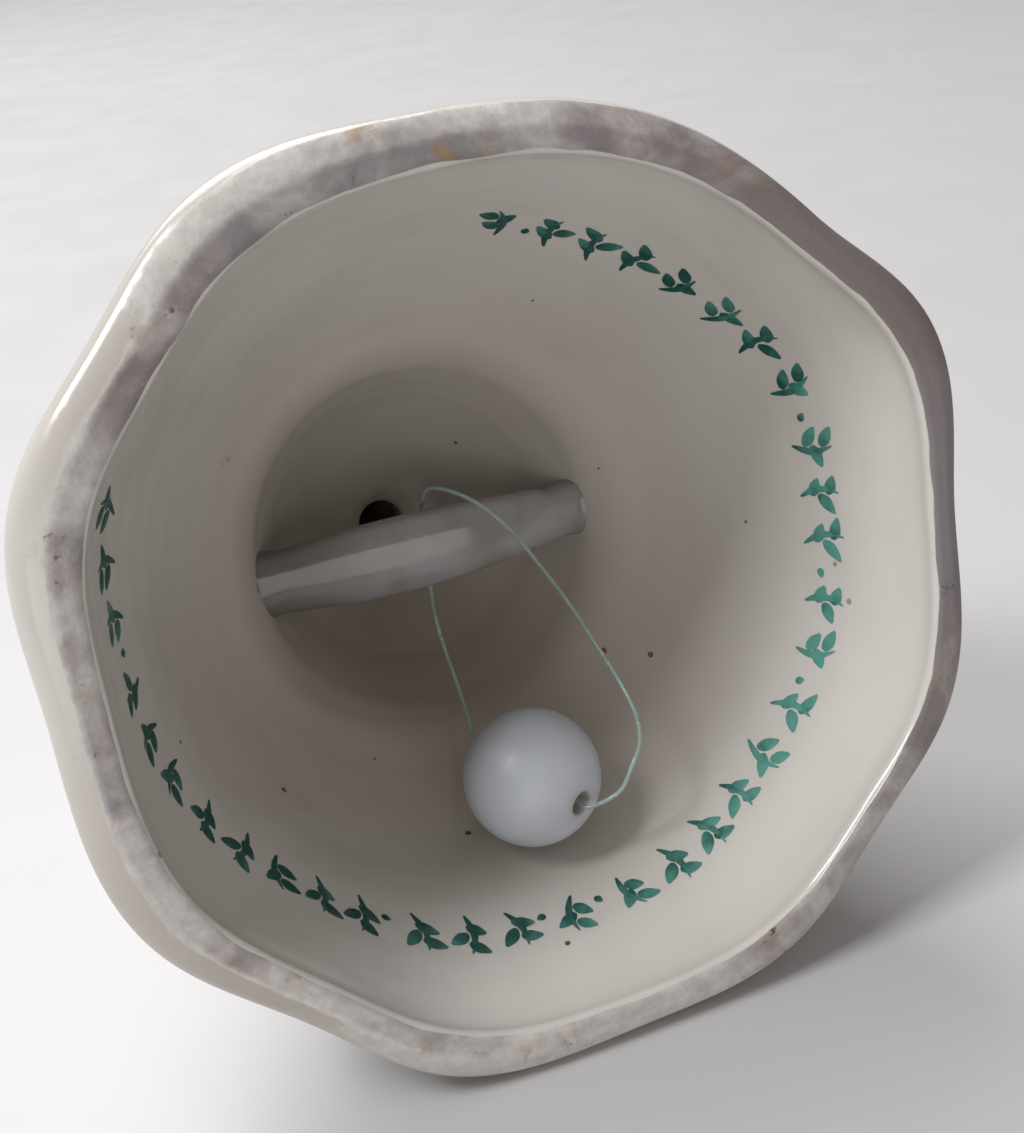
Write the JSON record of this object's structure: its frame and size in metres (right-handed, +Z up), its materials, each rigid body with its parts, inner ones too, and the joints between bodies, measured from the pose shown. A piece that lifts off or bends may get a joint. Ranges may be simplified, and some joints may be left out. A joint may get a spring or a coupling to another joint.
{
  "type": "porcelain hand bell",
  "caption": "Small porcelain hand bell with a crimped, scalloped lip and a turned handle, lying on its side; a bead clapper hangs on a thread loop from an inner bar.",
  "frame": {"origin": "middle of the underside of the box round the lying bell, on the surface that it lies on", "axes": "+Z up, -Y out of the mouth, +Y towards the handle (the bell's own axis falls 15 degrees towards the handle), +X along the clapper bar"},
  "size_m": [0.0792, 0.129, 0.0757],
  "materials": {
    "porcelain": "clear glossy glaze over off-white porcelain, with a bare, stained, matte land on the lip",
    "bead_white": "white, satin",
    "nylon": "clear pale green-blue monofilament"
  },
  "bodies": {
    "bell": {"bell_body": "porcelain", "handle": "porcelain", "clapper_bar": "porcelain"},
    "loop": {"thread_loop": "nylon"},
    "clapper": {"thread_strand_right": "nylon", "thread_strand_left": "nylon", "thread_knot": "nylon"},
    "bead": {"clapper_bead": "bead_white"}
  },
  "joints": [
    {"name": "clapper_turn", "type": "hinge", "parent": "bell", "child": "loop", "pos_m": [-0.00058, -0.02074, 0.02859], "axis": [0, 0.9659, -0.2588], "range_deg": [-30, 30]},
    {"name": "clapper_swing", "type": "hinge", "parent": "loop", "child": "clapper", "pos_m": [-0.00058, -0.02074, 0.02859], "axis": [-1, 0, 0], "range_deg": [0, 98]},
    {"name": "bead_spin", "type": "hinge", "parent": "clapper", "child": "bead", "pos_m": [0.00097, -0.04187, 0.01308], "axis": [0.444, -0.8929, -0.0754], "continuous": true}
  ]
}
